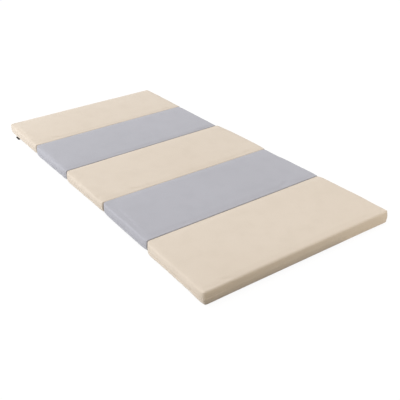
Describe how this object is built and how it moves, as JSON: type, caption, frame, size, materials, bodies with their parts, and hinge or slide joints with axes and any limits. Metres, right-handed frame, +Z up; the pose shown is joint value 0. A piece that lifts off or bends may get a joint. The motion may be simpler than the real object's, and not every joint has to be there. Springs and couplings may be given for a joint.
{
  "type": "baby play mat",
  "caption": "Folding baby play mat of padded panels in a leatherette cover, hinged top and bottom in turn and shown open and flat, with a small zip pull at one corner.",
  "frame": {"origin": "on the floor under the middle of the open mat", "axes": "+X along the mat's length, from the panel with the zip pull to the panel at the other end, +Y across it away from the side with the zip pull, +Z up"},
  "size_m": [1.514, 0.7084, 0.05],
  "materials": {
    "oat_cover": "matte oat beige leatherette with a fine grain",
    "mist_cover": "matte blue-grey leatherette with a fine grain",
    "hinge_cloth": "matte oat beige leatherette",
    "zip_black": "black coated zip slider and pull"
  },
  "bodies": {
    "root": {"panel_1": "oat_cover", "panel_2": "mist_cover", "panel_3": "oat_cover", "panel_4": "mist_cover", "panel_5": "oat_cover", "hinge_1": "hinge_cloth", "hinge_2": "hinge_cloth", "hinge_3": "hinge_cloth", "hinge_4": "hinge_cloth", "zip_pull": "zip_black"}
  },
  "joints": []
}
